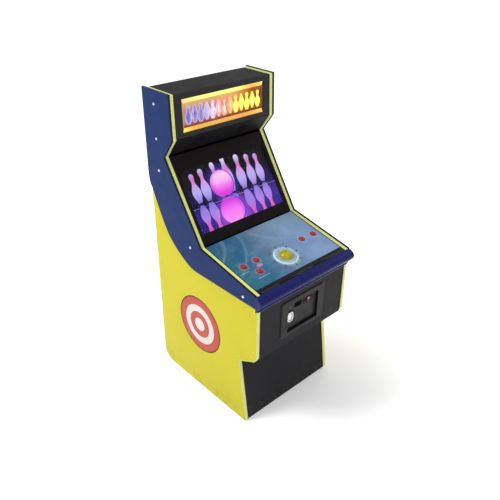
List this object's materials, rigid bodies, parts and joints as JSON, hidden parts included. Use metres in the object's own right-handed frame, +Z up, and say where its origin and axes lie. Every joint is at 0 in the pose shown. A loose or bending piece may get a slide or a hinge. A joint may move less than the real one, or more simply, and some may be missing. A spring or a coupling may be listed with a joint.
{
  "type": "arcade cabinet",
  "caption": "Upright arcade cabinet with sloped screen, lit marquee, trackball and push-button control panel, coin door, kick panel and rear service door.",
  "frame": {"origin": "on the floor under the middle of the cabinet's outer box", "axes": "+X to the player's right, -Y out of the front, +Z up"},
  "size_m": [0.6914, 0.85, 1.671],
  "materials": {
    "yellow_laminate": "glossy yellow laminate on board",
    "blue_laminate": "satin navy laminate on board",
    "black_laminate": "satin black vinyl on board",
    "raw_board": "bare fibreboard",
    "pale_trim": "pale yellow edge moulding",
    "black_metal": "black powder coat",
    "marquee_print": "translucent printed acrylic",
    "lamp_white": "white lamp tube",
    "speaker_black": "black cone and basket",
    "bezel_black": "satin black",
    "clear_glass": "clear safety glass",
    "display_black": "display panel and chassis",
    "control_art": "printed overlay on steel",
    "pale_plastic": "pale moulded ring",
    "ball_yellow": "polished phenolic ball",
    "black_plastic": "moulded plastic",
    "grey_plastic": "moulded plastic",
    "steel": "zinc plated",
    "steel_case": "folded sheet case",
    "black_steel": "black oxide",
    "red_plastic": "moulded red plastic",
    "lit_red": "lit translucent red plastic",
    "bright_chrome": "bright plate",
    "green_board": "circuit board",
    "wheel_rubber": "black rubber wheel",
    "brass_screw": "painted screw heads"
  },
  "bodies": {
    "cabinet": {"left_side_panel": "yellow_laminate", "right_side_panel": "yellow_laminate", "left_edge_trim": "pale_trim", "right_edge_trim": "pale_trim", "left_side_overlay": "blue_laminate", "right_side_overlay": "blue_laminate", "top_panel": "black_laminate", "upper_back_panel": "black_laminate", "base_panel": "raw_board", "kick_panel": "black_laminate", "coin_box_floor": "black_laminate", "coin_panel": "black_laminate", "cash_shelf": "raw_board", "lower_back_panel": "black_laminate", "front_nose": "blue_laminate", "marquee_frame": "black_metal", "marquee_panel": "marquee_print", "marquee_lamp": "lamp_white", "marquee_shelf": "raw_board", "speaker_panel": "black_laminate", "speakers": "speaker_black", "screen_bezel": "bezel_black", "screen_glass": "clear_glass", "display_panel": "display_black", "fixed_hinges": "black_steel", "coin_door_frame": "black_metal", "cash_box": "black_metal", "corner_battens": "raw_board", "power_supply": "steel_case", "game_board": "green_board", "power_inlet": "black_plastic", "levelling_feet": "black_steel", "wheel_forks": "steel", "overlay_bolts": "bright_chrome", "panel_screws": "brass_screw"},
    "control_panel": {"control_plate": "control_art", "trackball_ring": "pale_plastic", "trackball_housing": "black_plastic", "ring_screws": "black_steel", "button_housings": "red_plastic", "button_springs": "steel", "button_switches": "black_plastic"},
    "trackball": {"trackball": "ball_yellow"},
    "cross_roller": {"cross_roller": "steel"},
    "side_roller": {"side_roller": "steel"},
    "coin_door": {"coin_door": "black_metal", "coin_mech": "grey_plastic"},
    "coin_door_lock": {"coin_door_lock": "black_steel"},
    "coin_reject_button": {"coin_reject_button": "lit_red"},
    "coin_return_flap": {"coin_return_flap": "bright_chrome"},
    "rear_door": {"rear_door": "black_laminate"},
    "rear_door_lock": {"rear_door_lock": "bright_chrome"},
    "power_switch": {"power_switch": "black_plastic"},
    "left_rear_wheel": {"left_rear_wheel": "wheel_rubber"},
    "right_rear_wheel": {"right_rear_wheel": "wheel_rubber"},
    "button_1": {"button_1": "red_plastic"},
    "button_2": {"button_2": "red_plastic"},
    "button_3": {"button_3": "red_plastic"},
    "button_4": {"button_4": "red_plastic"},
    "button_5": {"button_5": "red_plastic"}
  },
  "joints": [
    {"name": "control_panel_hinge", "type": "hinge", "parent": "cabinet", "child": "control_panel", "pos_m": [0, -0.37807, 0.8674], "axis": [1, 0, 0], "range_deg": [0, 70]},
    {"name": "button_1_press", "type": "slide", "parent": "control_panel", "child": "button_1", "axis": [0, 0.1947, -0.9809], "range_m": [0, 0.0035], "stiffness_N_per_m": 250, "springref_m": -0.004, "deforming": ["button_springs"]},
    {"name": "button_2_press", "type": "slide", "parent": "control_panel", "child": "button_2", "axis": [0, 0.1947, -0.9809], "range_m": [0, 0.0035], "stiffness_N_per_m": 250, "springref_m": -0.004, "deforming": ["button_springs"]},
    {"name": "button_3_press", "type": "slide", "parent": "control_panel", "child": "button_3", "axis": [0, 0.1947, -0.9809], "range_m": [0, 0.0035], "stiffness_N_per_m": 250, "springref_m": -0.004, "deforming": ["button_springs"]},
    {"name": "button_4_press", "type": "slide", "parent": "control_panel", "child": "button_4", "axis": [0, 0.1947, -0.9809], "range_m": [0, 0.0035], "stiffness_N_per_m": 250, "springref_m": -0.004, "deforming": ["button_springs"]},
    {"name": "button_5_press", "type": "slide", "parent": "control_panel", "child": "button_5", "axis": [0, 0.1947, -0.9809], "range_m": [0, 0.0035], "stiffness_N_per_m": 250, "springref_m": -0.004, "deforming": ["button_springs"]},
    {"name": "trackball_spin", "type": "hinge", "parent": "control_panel", "child": "trackball", "pos_m": [0, -0.24587, 0.88243], "axis": [1, 0, 0], "continuous": true},
    {"name": "cross_roller_spin", "type": "hinge", "parent": "control_panel", "child": "cross_roller", "pos_m": [0, -0.20497, 0.86853], "axis": [1, 0, 0], "continuous": true},
    {"name": "side_roller_spin", "type": "hinge", "parent": "control_panel", "child": "side_roller", "pos_m": [0.03741, -0.24166, 0.86124], "axis": [0, 0.9809, 0.1947], "continuous": true},
    {"name": "coin_door_hinge", "type": "hinge", "parent": "cabinet", "child": "coin_door", "pos_m": [0.1035, -0.374, 0.626], "axis": [0, 0, 1], "range_deg": [0, 85]},
    {"name": "coin_lock_turn", "type": "hinge", "parent": "coin_door", "child": "coin_door_lock", "pos_m": [-0.092, -0.365, 0.686], "axis": [0, -1, 0], "range_deg": [0, 90]},
    {"name": "coin_reject_press", "type": "slide", "parent": "coin_door", "child": "coin_reject_button", "axis": [0, 1, 0], "range_m": [0, 0.004], "stiffness_N_per_m": 200, "springref_m": -0.004},
    {"name": "coin_return_flap_swing", "type": "hinge", "parent": "coin_door", "child": "coin_return_flap", "pos_m": [-0.088, -0.371, 0.6435], "axis": [1, 0, 0], "range_deg": [0, 30]},
    {"name": "rear_door_hinge", "type": "hinge", "parent": "cabinet", "child": "rear_door", "pos_m": [-0.308, 0.421, 0.819], "axis": [0, 0, 1], "range_deg": [0, 110]},
    {"name": "rear_lock_turn", "type": "hinge", "parent": "rear_door", "child": "rear_door_lock", "pos_m": [0.27, 0.41, 0.82], "axis": [0, -1, 0], "range_deg": [0, 90]},
    {"name": "power_switch_rock", "type": "hinge", "parent": "cabinet", "child": "power_switch", "pos_m": [0.2, 0.4115, 0.274], "axis": [1, 0, 0], "range_deg": [-7, 7]},
    {"name": "left_rear_wheel_spin", "type": "hinge", "parent": "cabinet", "child": "left_rear_wheel", "pos_m": [-0.268, 0.378, 0.054], "axis": [1, 0, 0], "continuous": true},
    {"name": "right_rear_wheel_spin", "type": "hinge", "parent": "cabinet", "child": "right_rear_wheel", "pos_m": [0.268, 0.378, 0.054], "axis": [1, 0, 0], "continuous": true}
  ],
  "couplings": [
    {"joint": "cross_roller_spin", "follows": "trackball_spin", "ratio": -7.62}
  ]
}
